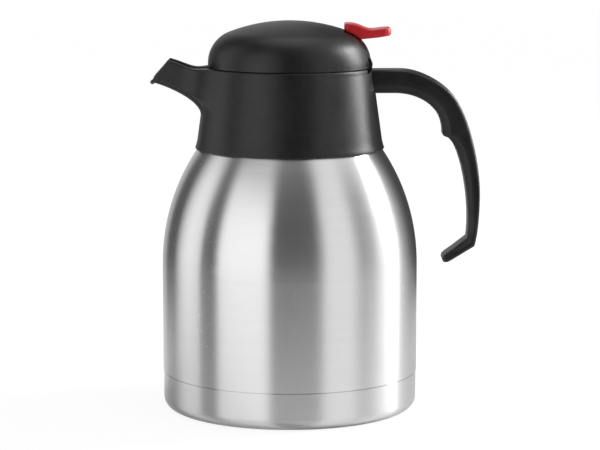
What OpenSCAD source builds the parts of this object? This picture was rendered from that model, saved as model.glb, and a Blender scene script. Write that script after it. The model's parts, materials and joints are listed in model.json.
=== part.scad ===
// Double-walled steel carafe with a plastic collar, a flip lid and a thumb lever.
// Origin: centre of the base underside. +Z is up, the spout points to -X, the handle to +X.

/* [Steel body] */
// Outside radius of the steel body
body_r = 70; // [58:0.5:85]
// Height of the steel body up to the collar's lower edge
body_h = 143; // [115:1:175]
// Height at which the straight wall turns into the shoulder
straight_h = 80; // [65:1:100]
// Height of the base cup
base_h = 20.3; // [14:0.1:30]
// Radius of the base cup's lower edge
base_edge_r = 6; // [3:0.5:9]
// Thickness of the steel sheet of the outer shell and the base cup
steel_t = 0.6; // [0.4:0.05:1]
// Thickness of the steel sheet of the inner liner
liner_t = 0.5; // [0.3:0.05:0.8]
// Width of the vacuum space between the two walls
vacuum_gap = 6; // [3:0.5:8]
// Outside radius of the steel neck
mouth_r = 39; // [32:0.5:47]

/* [Collar] */
// Height of the collar
collar_h = 44.5; // [38:0.5:60]
// Distance from the steel neck to the collar's top edge
collar_w = 6; // [5.5:0.1:8]
// Wall thickness of the collar
collar_t = 2.4; // [1.8:0.1:3]
// Growth of the collar's radius for each millimetre down
collar_taper = 0.14; // [0.05:0.01:0.2]
// Extra radius at the collar's flared foot
collar_flare = 0.75; // [0:0.05:1.5]
// Depth of the well that takes the stopper, from the rim to its seat
well_d = 15.5; // [13:0.5:17]

/* [Spout] */
// Distance that the lip stands out from the collar's top edge
spout_reach = 30.6; // [22:0.1:40]
// Half the outside width of the spout near its mouth
spout_half_w = 8.5; // [7:0.1:11]
// Wall thickness of the spout
spout_t = 2.2; // [1.6:0.1:3]

/* [Handle] */
// Width of the handle
handle_w = 18.5; // [15:0.5:24]
// Distance from the steel body to the outer side of the grip
handle_reach = 34; // [30:0.5:42]
// Thickness of the grip
grip_t = 6.4; // [5:0.1:9]
// Distance from the rim down to the bottom of the handle's hook
handle_drop = 106.6; // [90:0.1:120]

/* [Lid] */
// Height of the dome above the rim
dome_h = 25; // [22:0.1:30]
// Wall thickness of the dome
dome_t = 2.2; // [1.6:0.1:2.6]
// Radius of the dome's rounded shoulder
dome_corner_r = 17.8; // [14:0.1:19]
// Width of the gap between the lid and the collar
seam_gap = 0.3; // [0.2:0.05:0.6]
// Largest opening angle of the lid
lid_open = 50; // [0:1:50]
// Angle at which the lid is drawn
lid_angle = 0; // [0:1:50]

/* [Hinge] */
// Radius of the hinge pin
pin_r = 1.5; // [1.2:0.05:1.8]
// Radius of the lid's two hinge knuckles
knuckle_r = 4.3; // [4:0.05:4.6]
// Width of each hinge knuckle
knuckle_w = 4.9; // [3:0.1:6]
// Width of the slot in the back of the dome
slot_w = 14.6; // [12:0.1:16]

/* [Lever and valve] */
// Width of the lever's thumb pad
lever_w = 19; // [16:0.5:22]
// Radius of the lever's pivot pin
lever_pin_r = 1.25; // [1:0.05:1.5]
// Radius of the valve port in the stopper
port_r = 10.5; // [8:0.1:12]
// Radius of the valve stem
stem_r = 2; // [1.6:0.1:2.4]
// Number of turns of the valve spring
spring_turns = 3; // [2:1:3]
// Radius of the spring wire
wire_r = 0.4; // [0.3:0.05:0.45]

/* [Hidden] */

// Clearances
fit = 0.05;          // pieces pushed into each other, and pins in their bores
snug = 0.2;          // pieces laid beside each other
loose = 0.4;         // pieces that move past each other
beyond = 1;          // how far a cut runs past the face it opens

// Colours
steel = [0.78, 0.78, 0.79];
black = [0.11, 0.11, 0.12];
red = [0.65, 0.10, 0.12];
silicone = [0.86, 0.86, 0.84];

// Levels, from the rim down
rim_z = body_h + collar_h;
ledge_z = rim_z - well_d;
ring_floor_t = 2.4;
shelf_top_z = ledge_z - ring_floor_t;
shelf_t = 2.4;
neck_seal_t = 1.2;
lip_z = shelf_top_z - shelf_t - neck_seal_t;

// Radii, from the steel neck out and in
top_r = mouth_r + collar_w;
dome_r = top_r - 0.45;
liner_neck_r = mouth_r - 2.9;
skirt_r = liner_neck_r - liner_t - snug;
pour_bore_r = skirt_r - 2.4;
well_r = mouth_r - 0.1;
well_wall_t = 1.5;
flange_t = 1.6;
flange_z = rim_z - 3 - flange_t;
shelf_bore_r = mouth_r - 2.5;
lip_r = mouth_r + 0.6;

// Collar outline
flare_h = 6;
edge_round = 0.8;
rim_round = 1.2;
function collar_r(z) = top_r + collar_taper * (rim_z - z)
    + collar_flare * pow(max(0, flare_h - (z - body_h)) / flare_h, 2);

// Shoulder: one arc, tangent to the wall, that reaches the seat under the collar's edge
collar_edge_t = 1.5;
seat_r = collar_r(body_h) - collar_edge_t;
shoulder_in = body_r - seat_r;
shoulder_h = body_h - straight_h;
shoulder_r = (shoulder_in * shoulder_in + shoulder_h * shoulder_h) / (2 * shoulder_in);
shoulder_top_z = body_h + 10;

// Bottom of the body
cup_r = body_r - 0.3;
foot_r = cup_r - steel_t - fit;
foot_z = base_edge_r + 1;
groove_h = 0.5;
liner_floor_z = foot_z + steel_t + vacuum_gap;
liner_corner_r = 12;
liner_seam_z = liner_floor_z + liner_corner_r;
bead_out_r = body_r - 18;
bead_w = 4;
bead_h = 1.5;
plug_hole_r = 2;
getter_r = 9;
getter_h = 2.4;
getter_x = 30;

// Clamp ring and its screws
neck_bead_r = 1.2;
neck_bead_z = lip_z - 3;
clamp_in_r = lip_r + 0.15;
clamp_out_r = collar_r(shelf_top_z - shelf_t) - collar_t - loose;
clamp_h = 9.2;
screw_room = collar_r(shelf_top_z) - collar_t - well_r - well_wall_t;
screw_circle_r = well_r + well_wall_t + screw_room / 2;
screw_r = 1.25;
screw_head_r = min(2.1, screw_room / 2 - snug);
screw_head_h = 1.5;
screw_angles = [45, 135, 225, 315];

// Dome outline: a wide crown arc tangent to the corner arc
dome_z = rim_z + seam_gap;
apex_z = dome_z + dome_h;
side_h = 2.2;
corner_x = dome_r - dome_corner_r;
corner_z = dome_z + side_h;
crown_k = apex_z - corner_z;
crown_r = (pow(corner_x, 2) + pow(crown_k, 2) - pow(dome_corner_r, 2)) / (2 * (crown_k - dome_corner_r));

// Hinge
hinge_x = dome_r - 3.95;
hinge_z = rim_z + 2.2;
ear_w = slot_w - 1;
ear_r = knuckle_r - 0.4;
ear_root_x = top_r - 3.7;
ear_root_z = rim_z - 5.5;
pocket_r = knuckle_r + 0.7;
pocket_w = slot_w + 2 * knuckle_w + 9.6;
pin_l = slot_w + 2 * knuckle_w - 0.4;

// Stopper under the lid
plate_z = dome_z + loose;
plate_t = 2;
plate_r = dome_r - dome_t - 0.35;
stopper_top_r = well_r - 1.7;
stopper_low_r = mouth_r - 3.4;
stopper_foot_r = mouth_r - 4.4;
stopper_t = 2.2;
stopper_foot_z = ledge_z + 1.4;
stopper_floor_t = 2;
stopper_groove_z = ledge_z + 4.6;
stopper_seal_r = mouth_r - 2.6;
window_low_z = ledge_z + 6.5;
window_top_z = rim_z - 1;
window_angle = 50;
guide_r = stem_r + 1.2;
guide_top_h = 3.3;
guide_low_h = 2.2;
lid_screw_circle_r = dome_r - 5.15;
lid_screw_angles = [60, 180, 300];
boss_r = 3;
boss_h = 8.8;

// Lever
pivot_x = dome_r - 7.95;
pivot_z = dome_z + 12.4;
hub_r = 2.9;
leg_w = slot_w - 1.4;
cheek_w = 2.4;
cheek_r = 3.2;
lever_pin_l = slot_w + 2 * cheek_w - 0.4;
nose_r = 1.5;
nose_z = dome_z + 9.8;
tine_w = 2.2;

// Valve
disc_z = stopper_foot_z + stopper_floor_t + 1.25;
disc_r = port_r + 2.5;
disc_t = 1.95;
disc_hub_h = 1;
valve_seal_t = 1.15;
washer_z = nose_z + nose_r + 0.2;
washer_t = 1.8;
washer_r = 5.4;
spigot_r = stem_r - 0.5;
spring_r = guide_r + 1.4;
spring_low_z = disc_z + disc_t + wire_r + 0.1;
spring_top_z = plate_z - wire_r - 0.1;
spring_rings = 8;
spring_sides = 6;

// Least distance between neighbouring turns of the spring, taken from points on its centre line
spring_pitch = (spring_top_z - spring_low_z) / spring_turns;
spring_steps = spring_turns * spring_rings;
function coil_point(i) = let (a = 360 * i / spring_rings)
    [spring_r * cos(a), spring_r * sin(a), spring_low_z + spring_pitch * i / spring_rings];
spring_gap = min([for (i = [0 : spring_steps - spring_rings / 2]) for (j = [i + spring_rings / 2 : spring_steps])
    norm(coil_point(j) - coil_point(i))]) - 2 * wire_r;
echo(least_gap_of_valve_spring = spring_gap);

// ---------- Shared functions and shapes ----------

// Points along a cubic curve with the control points p
function bezier(p, n) = [for (i = [0 : n]) let (t = i / n, s = 1 - t)
    s * s * s * p[0] + 3 * s * s * t * p[1] + 3 * s * t * t * p[2] + t * t * t * p[3]];

// Points along an arc round c from angle a to angle b
function arc(c, r, a, b, n) = [for (i = [0 : n]) let (t = a + (b - a) * i / n) c + r * [cos(t), sin(t)]];

// Stands an outline drawn in X and Z upright, as a slab of width w on the middle plane
module slab(w) {
    rotate([90, 0, 0]) linear_extrude(height = w, center = true) children();
}

// A round bar along Y
module bar(x, z, r, w, y = 0) {
    translate([x, y, z]) rotate([90, 0, 0]) cylinder(h = w, r = r, center = true, $fn = 48);
}

// Copies its children to each of the angles
module at_angles(angles) {
    for (a = angles) rotate([0, 0, a]) children();
}

// A cross-head screw that points down, with the underside of its head at the origin
module screw(shank, length, head_r, head_h) {
    difference() {
        union() {
            cylinder(h = head_h, r = head_r, $fn = 32);
            translate([0, 0, -length]) cylinder(h = length + head_h / 2, r = shank, $fn = 32);
        }
        for (turn = [0, 90]) rotate([0, 0, turn])
            translate([-head_r * 0.6, -0.3, head_h * 0.5]) cube([head_r * 1.2, 0.6, head_h]);
    }
}

// Half section of the space inside the outer shell's face, drawn in by off
module shell_area(off, top) {
    translate([0, foot_z - (off > 0 ? beyond : 0)]) square([foot_r - off, straight_h - foot_z]);
    translate([0, base_h + groove_h + off]) square([body_r - off, straight_h - base_h - groove_h - off]);
    intersection() {
        translate([body_r - shoulder_r, straight_h]) circle(r = shoulder_r - off, $fn = 240);
        translate([0, straight_h - beyond]) square([body_r, shoulder_top_z - off - straight_h + beyond]);
    }
    translate([0, straight_h]) square([mouth_r - off, top - straight_h]);
}

// Half section of the space inside the liner's outer face, drawn in by off
module liner_area(off, top) {
    wall = steel_t + vacuum_gap;
    r = body_r - wall;
    translate([0, liner_floor_z + off]) square([r - liner_corner_r, straight_h - liner_floor_z - off]);
    translate([r - liner_corner_r, liner_floor_z + liner_corner_r]) circle(r = liner_corner_r - off, $fn = 64);
    translate([0, liner_floor_z + liner_corner_r])
        square([r - off, straight_h - liner_floor_z - liner_corner_r]);
    intersection() {
        translate([body_r - shoulder_r, straight_h]) circle(r = shoulder_r - wall - off, $fn = 240);
        translate([0, straight_h - beyond])
            square([r, shoulder_top_z - wall - off - straight_h + beyond]);
    }
    translate([0, straight_h]) square([liner_neck_r - off, top - straight_h]);
}

// Half section of the base cup's outer face, drawn in by off
module cup_area(off) {
    difference() {
        union() {
            translate([0, off]) square([cup_r - base_edge_r, base_h - off]);
            translate([cup_r - base_edge_r, base_edge_r]) circle(r = base_edge_r - off, $fn = 64);
            translate([0, base_edge_r]) square([cup_r - off, base_h - base_edge_r]);
        }
        // stiffening bead pressed up into the floor
        translate([bead_out_r - bead_w - off, 0]) square([bead_w + 2 * off, bead_h + off]);
    }
}

// Half section of the dome's outer face, drawn in by off
module dome_area(off) {
    tangent_a = atan2(corner_x, corner_z - apex_z + crown_r);
    crown_c = [0, apex_z - crown_r];
    intersection() {
        translate(crown_c) circle(r = crown_r - off, $fn = 360);
        polygon([[0, corner_z], [corner_x, corner_z],
                 crown_c + (crown_r + 20) * [sin(tangent_a), cos(tangent_a)],
                 [0, apex_z + 20]]);
    }
    intersection() {
        translate([corner_x, corner_z]) circle(r = dome_corner_r - off, $fn = 120);
        translate([0, corner_z]) square([dome_r, dome_corner_r]);
    }
    translate([0, dome_z - (off > 0 ? beyond : 0)]) square([dome_r - off, side_h + (off > 0 ? beyond : 0)]);
}

// Solid dome, drawn in by off
module dome_solid(off) {
    rotate_extrude($fn = 120) dome_area(off);
}

// Half section of the collar's outer face
module collar_outline() {
    foot = collar_r(body_h + edge_round);
    polygon(concat(
        [[0, body_h]],
        arc([foot - edge_round, body_h + edge_round], edge_round, -90, 0, 4),
        [for (i = [1 : 5]) let (z = body_h + edge_round + (flare_h - edge_round) * i / 5) [collar_r(z), z]],
        arc([top_r - rim_round, rim_z - rim_round], rim_round, 0, 90, 5),
        [[0, rim_z]]));
}

// Half section of the space inside the collar's wall, between two levels
module collar_inside(low, high) {
    polygon(concat(
        [[0, low]],
        [for (i = [0 : 6]) let (z = low + (high - low) * i / 6) [collar_r(z) - collar_t, z]],
        [[0, high]]));
}

// ---------- Steel body ----------

module outer_shell() color(steel) rotate_extrude($fn = 120) {
    difference() {
        shell_area(0, lip_z - liner_t);
        shell_area(steel_t, lip_z + beyond);
    }
    // rolled bead that the clamp ring grips
    difference() {
        translate([mouth_r, neck_bead_z]) circle(r = neck_bead_r, $fn = 32);
        translate([0, neck_bead_z - 2 * neck_bead_r]) square([mouth_r - steel_t / 2, 4 * neck_bead_r]);
    }
}

// Half section of the liner's whole wall and floor
module liner_wall() {
    difference() {
        liner_area(0, lip_z);
        liner_area(liner_t, lip_z + beyond);
    }
}

module inner_liner() color(steel) rotate_extrude($fn = 120) {
    intersection() {
        liner_wall();
        translate([0, liner_seam_z]) square([body_r, lip_z - liner_seam_z]);
    }
    // mouth edge, folded out over the shell's neck
    translate([liner_neck_r - liner_t, lip_z - liner_t]) square([lip_r - liner_neck_r + liner_t, liner_t]);
}

// Pan welded to the liner's lower edge
module inner_bottom() color(steel) rotate_extrude($fn = 120) {
    intersection() {
        liner_wall();
        square([body_r, liner_seam_z]);
    }
}

module outer_bottom() color(steel) rotate_extrude($fn = 120) {
    r = foot_r - steel_t - fit;
    translate([plug_hole_r + fit, foot_z]) square([r - plug_hole_r - fit, steel_t]);
    translate([r - steel_t, foot_z]) square([steel_t, vacuum_gap]);
}

module getter() color([0.55, 0.55, 0.58]) translate([getter_x, 0, foot_z + steel_t]) {
    difference() {
        cylinder(h = getter_h, r = getter_r, $fn = 48);
        translate([0, 0, getter_h / 2]) cylinder(h = getter_h, r = getter_r - 1.2, $fn = 48);
    }
}

module vacuum_plug() color([0.5, 0.52, 0.5]) {
    translate([0, 0, foot_z - 0.8]) cylinder(h = 0.8, r = 4.5, $fn = 48);
    translate([0, 0, foot_z - 0.4]) cylinder(h = 0.4 + steel_t, r = plug_hole_r, $fn = 48);
}

module base_cup() color(steel) rotate_extrude($fn = 120) {
    difference() {
        cup_area(0);
        cup_area(steel_t);
        translate([0, base_h - steel_t]) square([cup_r - steel_t, 2 * steel_t]);
    }
}

// ---------- Collar, spout and handle ----------

module clamp_ring() color(black) difference() {
    top_z = shelf_top_z - shelf_t;
    rotate_extrude($fn = 96) difference() {
        translate([clamp_in_r, top_z - clamp_h]) square([clamp_out_r - clamp_in_r, clamp_h]);
        translate([mouth_r, neck_bead_z]) circle(r = neck_bead_r + snug, $fn = 32);
    }
    // split, so that it springs over the bead
    translate([-clamp_out_r - beyond, -0.6, top_z - clamp_h - beyond]) cube([12, 1.2, clamp_h + 2 * beyond]);
    at_angles(screw_angles) translate([screw_circle_r, 0, top_z - clamp_h - beyond])
        cylinder(h = clamp_h + 2 * beyond, r = screw_r + fit, $fn = 32);
}

module neck_seal() color(silicone) translate([0, 0, lip_z]) difference() {
    cylinder(h = neck_seal_t, r = mouth_r + 0.4, $fn = 96);
    translate([0, 0, -beyond]) cylinder(h = neck_seal_t + 2 * beyond, r = shelf_bore_r + 0.1, $fn = 96);
}

module collar_screws() color(steel) at_angles(screw_angles)
    translate([screw_circle_r, 0, shelf_top_z]) screw(screw_r, shelf_t + 7, screw_head_r, screw_head_h);

// Side outline of the spout, in X and Z. The inner end lies inside the collar's wall
spout_tip = [-top_r - spout_reach, rim_z - 7.1];
spout_brow = [-top_r - 20.7, rim_z + 4.5];
spout_root_z = rim_z - 26;
drip_r = 1.3;
nose_d = 4.5;
module spout_side() {
    polygon(concat(
        [[-top_r + 4, rim_z - 0.3]],
        bezier([[-top_r - 4, rim_z - 0.3], [-top_r - 9, rim_z - 0.6], [-top_r - 13, rim_z + 1.9], spout_brow], 8),
        [spout_tip],
        arc(spout_tip + [0.7, -1.1], drip_r, 145, 320, 7),
        bezier([[-top_r - 28.6, rim_z - 8.2], [-top_r - 18.3, rim_z - 11.1],
                [-top_r - 3.5, rim_z - 17.8], [-collar_r(spout_root_z), spout_root_z]], 12),
        [[-top_r + 4, spout_root_z]]));
}

// Plan outline of the spout, drawn in by off. Its sides flare into the collar, and nose is the depth of its
// rounded end
module spout_plan(off, nose) {
    w = spout_half_w - off;
    nose_x = -top_r - spout_reach - 1;
    side = bezier([[-top_r - 22, w], [-top_r - 12, w + 0.6], [-top_r - 3, w + 3], [-top_r + 5, w + 14]], 10);
    polygon(concat(
        [for (a = [-90 : 15 : 90]) [nose_x + nose * (1 - cos(a)), w * sin(a)]],
        side,
        [[0, w + 14], [0, -w - 14]],
        [for (i = [len(side) - 1 : -1 : 0]) [side[i][0], -side[i][1]]]));
}

// Everything inside the middle of the collar's wall, from level low up
module inside_wall(low) {
    rotate_extrude($fn = 96) polygon([
        [0, low], [collar_r(low) - collar_t / 2, low],
        [collar_r(rim_z + 20) - collar_t / 2, rim_z + 20], [0, rim_z + 20]]);
}

// Space that the drink runs through, from the well to the lip
channel_half_w = spout_half_w - spout_t;
channel_low_z = ledge_z + 0.8;
module channel() {
    intersection() {
        slab(4 * spout_half_w) polygon([
            [-well_r + 3, channel_low_z], [-well_r - 1, channel_low_z], spout_tip + [0, 0.1],
            spout_tip + [-8, 1.8], [-top_r - spout_reach - 8, apex_z], [-well_r + 3, apex_z]]);
        translate([0, 0, channel_low_z - beyond]) linear_extrude(height = apex_z - channel_low_z + 2 * beyond) {
            intersection() {
                spout_plan(spout_t, 0);
                translate([-top_r - spout_reach - 10, -channel_half_w - 2])
                    square([top_r + spout_reach, 2 * channel_half_w + 4]);
            }
        }
    }
}

module spout_body() {
    difference() {
        intersection() {
            slab(6 * spout_half_w) spout_side();
            translate([0, 0, spout_root_z - beyond]) linear_extrude(height = well_d + 40)
                spout_plan(0, nose_d);
        }
        inside_wall(spout_root_z - 2);
    }
}

// Block that carries the channel across the space between the well and the collar's wall
module channel_block() {
    low = shelf_top_z - shelf_t / 2;
    difference() {
        intersection() {
            inside_wall(low);
            translate([-top_r - 4, -channel_half_w - 4, low])
                cube([16, 2 * channel_half_w + 8, flange_z - low]);
        }
        cylinder(h = rim_z, r = well_r + well_wall_t + snug, $fn = 96);
    }
}

module hinge_ear() {
    outer_x = sqrt(pow(top_r - 0.1, 2) - pow(ear_w / 2, 2));
    difference() {
        union() {
            bar(hinge_x, hinge_z, ear_r, ear_w);
            slab(ear_w) polygon([[ear_root_x, ear_root_z], [outer_x, ear_root_z],
                                 [outer_x, rim_z], [hinge_x + ear_r, hinge_z], [hinge_x, hinge_z],
                                 [ear_root_x, hinge_z - 1]]);
        }
        bar(hinge_x, hinge_z, pin_r + fit / 2, ear_w + 2 * beyond);
    }
}

handle_screw_y = 5;
handle_screw_z = rim_z - 11;
handle_screw_l = 13;
handle_screw_x = sqrt(pow(collar_r(handle_screw_z + screw_head_r) - collar_t, 2)
    - pow(handle_screw_y + screw_head_r, 2));

module collar() color(black) {
    difference() {
        union() {
            rotate_extrude($fn = 120) difference() {
                collar_outline();
                collar_inside(shelf_top_z, rim_z + beyond);
                collar_inside(body_h - beyond, shelf_top_z - shelf_t);
                translate([0, body_h]) square([shelf_bore_r, collar_h]);
                shell_area(-snug, lip_z - 2);
            }
            spout_body();
            channel_block();
        }
        channel();
        bar(hinge_x, hinge_z, pocket_r, pocket_w);
        at_angles(screw_angles) translate([screw_circle_r, 0, shelf_top_z - shelf_t - beyond])
            cylinder(h = shelf_t + 2 * beyond, r = screw_r + 0.1, $fn = 32);
        for (side = [-1, 1]) translate([handle_screw_x - beyond, side * handle_screw_y, handle_screw_z])
            rotate([0, 90, 0]) cylinder(h = 3 * collar_t, r = screw_r + 0.1, $fn = 32);
    }
    hinge_ear();
}

module pour_ring() color(black) difference() {
    flange_r = collar_r(flange_z) - collar_t - snug - flange_t * collar_taper;
    wall_r = well_r + well_wall_t;
    rotate_extrude($fn = 120) polygon([
        [pour_bore_r, lip_z - 8], [skirt_r, lip_z - 8], [skirt_r, shelf_top_z], [wall_r, shelf_top_z],
        [wall_r, flange_z], [flange_r, flange_z], [flange_r, flange_z + flange_t],
        [well_r, flange_z + flange_t], [well_r, ledge_z], [pour_bore_r, ledge_z]]);
    // window to the spout
    translate([-wall_r - beyond, -channel_half_w - 2, channel_low_z])
        cube([wall_r - pour_bore_r + beyond, 2 * channel_half_w + 4, flange_z - channel_low_z]);
    translate([ear_root_x - snug, -ear_w / 2 - snug, ear_root_z - snug]) cube([10, ear_w + 2 * snug, 10]);
}

// Handle: arm, grip and inward hook, drawn in X and Z
arm_top_z = rim_z - 1.1;
arm_low_z = rim_z - 13.7;
grip_x = body_r + handle_reach;
grip_in_x = grip_x - grip_t;
grip_z = body_h - 25;
hook_z = rim_z - handle_drop;
rest_z = arm_low_z - 23.5;
rest_x = grip_x - 20.7;
hook_x = grip_x - 20.3;
module handle_side() {
    polygon(concat(
        [[top_r - 4, arm_top_z]],
        bezier([[top_r + 15.5, arm_top_z], [top_r + 26.6, arm_top_z],
                [grip_x - 16.5, arm_top_z - 8.5], [grip_x - 11.6, arm_top_z - 19]], 12),
        bezier([[grip_x - 11.6, arm_top_z - 19], [grip_x - 5, arm_top_z - 30.4],
                [grip_x, arm_top_z - 53], [grip_x, grip_z]], 10),
        bezier([[grip_x, grip_z], [grip_x, grip_z - 9], [grip_x - 0.4, hook_z + 18], [grip_x - 2.2, hook_z + 9.6]], 7),
        arc([grip_x - 4, hook_z + 9.6], 1.4, -15, -60, 3),
        arc([hook_x + 2.4, hook_z + 1.8], 1.8, 300, 160, 5),
        [[hook_x + 1.1, hook_z + 4.4]],
        [[grip_in_x - 1.2, hook_z + 12.2]],
        arc([grip_in_x - 1.8, hook_z + 14.4], 1.8, -45, 0, 3),
        bezier([[grip_in_x, hook_z + 24], [grip_in_x, hook_z + 38.4],
                [grip_x - 10.6, rest_z - 6.8], [grip_x - 17.6, rest_z - 1]], 12),
        arc([rest_x + 1.5, rest_z + 1.2], 1.5, 290, 180, 4),
        bezier([[rest_x, rest_z + 2], [rest_x, rest_z + 15.2],
                [top_r + 26.4, arm_low_z], [top_r + 12.2, arm_low_z]], 12),
        [[top_r + 4.6, arm_low_z]],
        arc([top_r + 4.2, arm_low_z - 2], 2, 90, 180, 4),
        [[top_r - 4, arm_low_z - 2]]));
}

module handle() color(black) difference() {
    slab(handle_w) handle_side();
    rotate_extrude($fn = 120) translate([0, arm_low_z - 20])
        polygon([[0, 0], [collar_r(arm_low_z - 20), 0], [collar_r(rim_z), well_d + 18.2], [0, well_d + 18.2]]);
    for (side = [-1, 1]) translate([handle_screw_x, side * handle_screw_y, handle_screw_z])
        rotate([0, 90, 0]) cylinder(h = handle_screw_l + beyond, r = screw_r + fit, $fn = 32);
}

module handle_screws() color(steel) for (side = [-1, 1])
    translate([handle_screw_x, side * handle_screw_y, handle_screw_z])
        rotate([0, -90, 0]) screw(screw_r, handle_screw_l, screw_head_r, screw_head_h);

module hinge_pin() color(steel) bar(hinge_x, hinge_z, pin_r, pin_l);

// ---------- Lid ----------

module lid_dome() color(black) difference() {
    union() {
        difference() {
            dome_solid(0);
            dome_solid(dome_t);
            // slot for the lever and the hinge ear
            translate([pivot_x - 7.3, -slot_w / 2, dome_z - beyond]) cube([30, slot_w, dome_h]);
        }
        for (side = [-1, 1]) {
            bar(hinge_x, hinge_z, knuckle_r, knuckle_w, side * (slot_w + knuckle_w) / 2);
            // cheek that holds the lever's pin
            intersection() {
                translate([0, side * (slot_w + cheek_w) / 2, 0]) slab(cheek_w) union() {
                    translate([pivot_x, pivot_z]) circle(r = cheek_r, $fn = 48);
                    translate([pivot_x - cheek_r, pivot_z]) square([2 * cheek_r, 12]);
                }
                dome_solid(dome_t / 2);
            }
        }
        // bosses for the screws that hold the stopper
        intersection() {
            at_angles(lid_screw_angles) translate([lid_screw_circle_r, 0, plate_z + plate_t])
                cylinder(h = boss_h + 5, r = boss_r, $fn = 48);
            dome_solid(dome_t / 2);
        }
    }
    bar(hinge_x, hinge_z, pin_r + fit, pocket_w);
    bar(pivot_x, pivot_z, lever_pin_r + fit, lever_pin_l + 2 * beyond);
    at_angles(lid_screw_angles) translate([lid_screw_circle_r, 0, plate_z])
        cylinder(h = boss_h, r = screw_r + fit, $fn = 32);
}

module rear_cover() color(black) difference() {
    low = hinge_z + 2;
    high = pivot_z + 1.2;
    intersection() {
        difference() {
            dome_solid(0.3);
            dome_solid(dome_t);
        }
        translate([hinge_x - 4, -slot_w / 2 + snug / 2, low]) cube([12, slot_w - snug, high - low]);
    }
    bar(hinge_x, hinge_z, knuckle_r, slot_w);
    bar(pivot_x, pivot_z, hub_r + loose, slot_w);
}

module lid_plug() color(black) {
    floor_z = stopper_foot_z;
    difference() {
        rotate_extrude($fn = 120) polygon([
            [port_r, floor_z], [stopper_foot_r, floor_z], [stopper_foot_r, stopper_groove_z],
            [stopper_low_r, stopper_groove_z], [stopper_top_r, plate_z], [plate_r, plate_z],
            [plate_r, plate_z + plate_t], [guide_r, plate_z + plate_t],
            [guide_r, plate_z + plate_t + guide_top_h], [stem_r + fit, plate_z + plate_t + guide_top_h],
            [stem_r + fit, plate_z - guide_low_h], [guide_r, plate_z - guide_low_h], [guide_r, plate_z],
            [stopper_top_r - stopper_t, plate_z], [stopper_low_r - stopper_t, stopper_groove_z],
            [stopper_foot_r - stopper_t, stopper_groove_z - 1],
            [stopper_foot_r - stopper_t, floor_z + stopper_floor_t], [port_r, floor_z + stopper_floor_t]]);
        // window that lets the drink out of the stopper towards the spout
        rotate([0, 0, 180 - window_angle]) rotate_extrude(angle = 2 * window_angle, $fn = 96)
            translate([stopper_low_r - 2 * stopper_t, window_low_z]) square([12, window_top_z - window_low_z]);
        // room for the hinge
        translate([hinge_x - pocket_r, -pocket_w / 2, plate_z - beyond]) cube([20, pocket_w, plate_t + 2 * beyond]);
        bar(hinge_x, hinge_z, pocket_r, pocket_w);
        at_angles(lid_screw_angles) translate([lid_screw_circle_r, 0, plate_z - beyond])
            cylinder(h = plate_t + 2 * beyond, r = screw_r + 0.1, $fn = 32);
    }
}

module stopper_seal() color(silicone) rotate_extrude($fn = 120) polygon([
    [stopper_foot_r - 1.4, ledge_z + 0.25], [stopper_seal_r, ledge_z + 0.25],
    [stopper_seal_r, ledge_z + 1.3], [stopper_seal_r - 0.6, ledge_z + 2.4],
    [stopper_seal_r - 0.2, ledge_z + 3.4], [stopper_seal_r - 0.6, stopper_groove_z - fit],
    [stopper_foot_r + fit, stopper_groove_z - fit], [stopper_foot_r + fit, stopper_foot_z - fit],
    [stopper_foot_r - 1.4, stopper_foot_z - fit]]);

module lid_screws() color(steel) at_angles(lid_screw_angles)
    translate([lid_screw_circle_r, 0, plate_z]) rotate([180, 0, 0])
        screw(screw_r, boss_h - 1, screw_head_r, screw_head_h);

module lever_pin() color(steel) bar(pivot_x, pivot_z, lever_pin_r, lever_pin_l);

// ---------- Lever ----------

// Side outline of the part of the lever that shows
module lever_side() {
    front_x = pivot_x - 6.9;
    polygon(concat(
        [[front_x, pivot_z + 4]],
        arc([front_x + 1, pivot_z + 10.3], 1, 180, 90, 4),
        bezier([[pivot_x - 4, pivot_z + 11.3], [pivot_x + 1.5, pivot_z + 11],
                [pivot_x + 4, pivot_z + 8.2], [pivot_x + 7.5, pivot_z + 8.1]], 8),
        bezier([[pivot_x + 7.5, pivot_z + 8.1], [pivot_x + 11, pivot_z + 8.1],
                [pivot_x + 13, pivot_z + 8.9], [pivot_x + 16.8, pivot_z + 8.9]], 5),
        arc([pivot_x + 17.2, pivot_z + 7.7], 1.2, 70, 0, 3),
        arc([pivot_x + 17.3, pivot_z + 5.9], 1.1, 0, -80, 3),
        [[pivot_x + 2.2, pivot_z + 2.9], [pivot_x, pivot_z + 2.5]]));
}

module thumb_lever() color(red) difference() {
    leg_front_x = pivot_x - 6.4;
    union() {
        difference() {
            slab(lever_w) lever_side();
            dome_solid(-loose);
        }
        slab(leg_w) polygon([[leg_front_x, pivot_z + 8], [leg_front_x + 1.4, pivot_z + 2.6],
            [pivot_x - 1.8, pivot_z - 2.2], [pivot_x, pivot_z], [pivot_x + 2.5, pivot_z + 1.4],
            [pivot_x + 2.5, pivot_z + 5], [pivot_x, pivot_z + 8]]);
        bar(pivot_x, pivot_z, hub_r, leg_w);
        // arm that runs under the dome to the valve stem
        slab(2 * (stem_r + loose + tine_w)) polygon([[pivot_x, pivot_z + 1.6], [0, nose_z + nose_r * 0.6],
            [0, nose_z - nose_r], [pivot_x, pivot_z - 2.2]]);
        bar(0, nose_z, nose_r, 2 * (stem_r + loose + tine_w));
    }
    // fork that straddles the stem
    translate([-nose_r - beyond, -stem_r - loose, nose_z - 4]) cube([8, 2 * (stem_r + loose), 8]);
    bar(pivot_x, pivot_z, lever_pin_r + fit, leg_w + 2 * beyond);
}

// ---------- Valve ----------

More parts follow.
